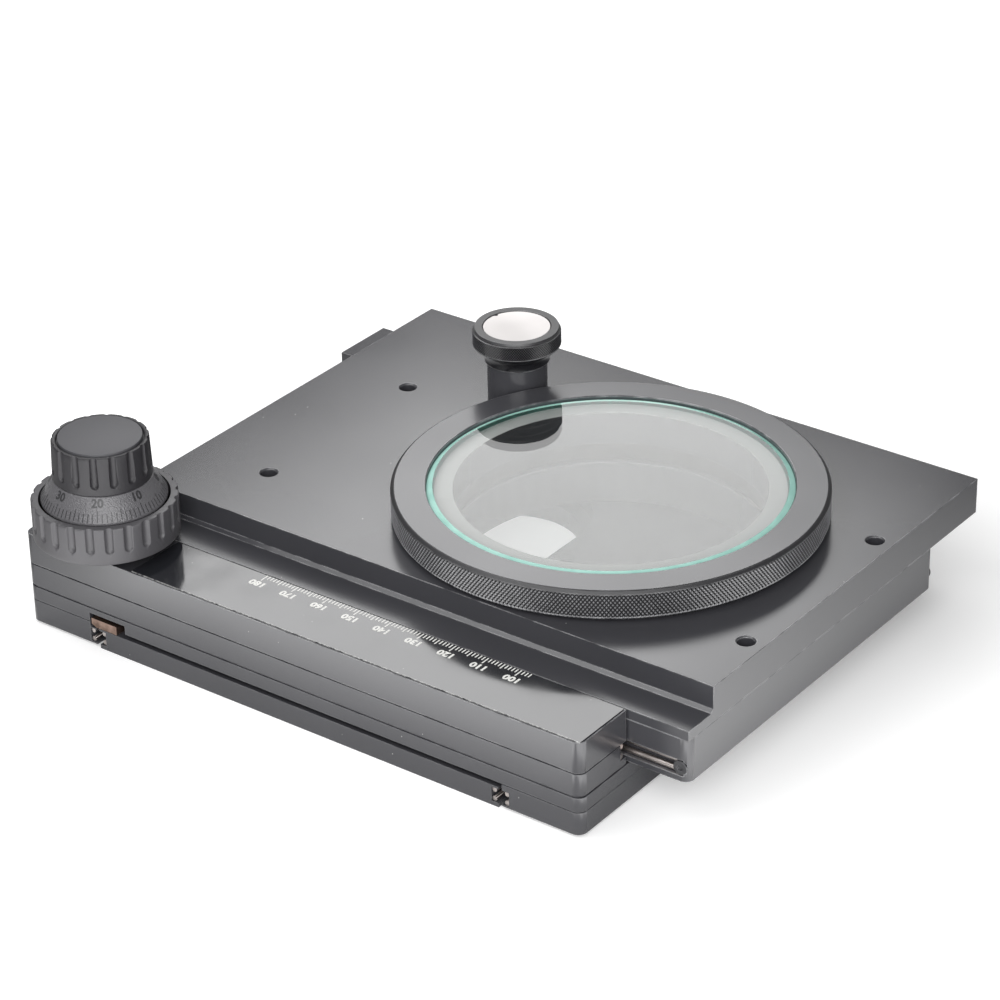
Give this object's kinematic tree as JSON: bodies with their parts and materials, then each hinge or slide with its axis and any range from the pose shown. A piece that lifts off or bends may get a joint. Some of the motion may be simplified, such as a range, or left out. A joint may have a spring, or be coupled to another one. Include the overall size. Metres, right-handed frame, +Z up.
{
  "type": "xy rotation stage",
  "caption": "Low two-axis positioning stage on ball races with a geared rotating ring round a glass plate, coaxial fluted knobs and a printed millimetre scale.",
  "frame": {"origin": "middle of the base plate's underside", "axes": "+Z up, +X along the guide bars from the coaxial knobs to the free end, +Y from the front bar to the back bar"},
  "size_m": [0.197, 0.1646, 0.0578],
  "materials": {
    "black_anodised": "black anodised, fine satin",
    "knob_black": "moulded satin",
    "knob_gloss": "turned gloss black",
    "scale_black": "gloss black with white print",
    "steel": "ground",
    "silver": "satin turned",
    "brass": "machined",
    "cage": "stamped strip",
    "clear_glass": "polished plate"
  },
  "bodies": {
    "base": {"base_plate": "black_anodised", "y_rack": "brass", "rack_screws": "steel", "base_race_wires": "steel"},
    "y_carriage": {"side_bars": "black_anodised", "centre_plate": "black_anodised", "front_bar": "black_anodised", "front_cover": "black_anodised", "scale_plate": "scale_black", "back_bar": "black_anodised", "bar_race_wires": "steel", "side_race_wires": "steel", "bar_screws": "steel", "side_bar_screws": "steel", "idler_pins": "steel"},
    "x_carriage": {"slide_plate": "black_anodised", "top_plate": "black_anodised", "x_rack": "brass", "slide_race_wires": "steel", "race_end_screws": "steel", "plate_screws": "steel", "ring_bearing": "brass", "knob_post": "black_anodised"},
    "rotor": {"knurled_ring": "black_anodised", "glass_plate": "clear_glass", "gear_ring": "brass", "gear_ring_screws": "steel"},
    "x_knob": {"fluted_ring": "knob_black", "x_sleeve": "steel", "x_pinion": "brass"},
    "y_knob": {"fluted_knob": "knob_black", "dial_skirt": "knob_black", "knob_cap": "knob_gloss", "y_shaft": "steel", "y_pinion": "brass", "knob_screw": "steel"},
    "idler_a": {"idler_gear_a": "brass"},
    "idler_b": {"idler_gear_b": "brass"},
    "rotation_knob": {"rotation_head": "black_anodised", "rotation_cap": "silver", "rotation_shaft": "steel", "rotation_pinion": "brass", "rotation_screw": "steel"},
    "x_cages": {"x_cage_strips": "cage", "x_cage_balls": "steel"},
    "y_cages": {"y_cage_strips": "cage", "y_cage_balls": "steel"}
  },
  "joints": [
    {"name": "y_slide", "type": "slide", "parent": "base", "child": "y_carriage", "axis": [0, 1, 0], "range_m": [0, 0.075]},
    {"name": "x_slide", "type": "slide", "parent": "y_carriage", "child": "x_carriage", "axis": [1, 0, 0], "range_m": [-0.0565, 0.0235]},
    {"name": "rotor_spin", "type": "hinge", "parent": "x_carriage", "child": "rotor", "pos_m": [0.0371, 0.01, 0.038], "axis": [0, 0, 1], "continuous": true},
    {"name": "x_knob_spin", "type": "hinge", "parent": "y_carriage", "child": "x_knob", "pos_m": [-0.068, -0.06735, 0.03], "axis": [0, 0, 1], "range_deg": [-213, 510]},
    {"name": "y_knob_spin", "type": "hinge", "parent": "y_carriage", "child": "y_knob", "pos_m": [-0.068, -0.06735, 0.05], "axis": [0, 0, 1], "range_deg": [-677, 1]},
    {"name": "idler_a_spin", "type": "hinge", "parent": "y_carriage", "child": "idler_a", "pos_m": [-0.05447, -0.06707, 0.021], "axis": [0, 0, 1], "range_deg": [-453, 189]},
    {"name": "idler_b_spin", "type": "hinge", "parent": "y_carriage", "child": "idler_b", "pos_m": [-0.0434, -0.06164, 0.021], "axis": [0, 0, 1], "range_deg": [-262, 627]},
    {"name": "rotation_knob_spin", "type": "hinge", "parent": "x_carriage", "child": "rotation_knob", "pos_m": [-0.01826, 0.045, 0.04], "axis": [0, 0, 1], "continuous": true},
    {"name": "x_cage_roll", "type": "slide", "parent": "y_carriage", "child": "x_cages", "axis": [1, 0, 0], "range_m": [-0.0283, 0.0118]},
    {"name": "y_cage_roll", "type": "slide", "parent": "base", "child": "y_cages", "axis": [0, 1, 0], "range_m": [-0.0001, 0.0376]}
  ],
  "couplings": [
    {"joint": "x_knob_spin", "follows": "x_slide", "rad_per_m": -157.08},
    {"joint": "idler_a_spin", "follows": "x_slide", "rad_per_m": 139.63},
    {"joint": "idler_b_spin", "follows": "x_slide", "rad_per_m": -193.33},
    {"joint": "y_knob_spin", "follows": "y_slide", "rad_per_m": -157.08},
    {"joint": "rotation_knob_spin", "follows": "rotor_spin", "ratio": -4.6957},
    {"joint": "x_cage_roll", "follows": "x_slide", "ratio": 0.5},
    {"joint": "y_cage_roll", "follows": "y_slide", "ratio": 0.5}
  ]
}
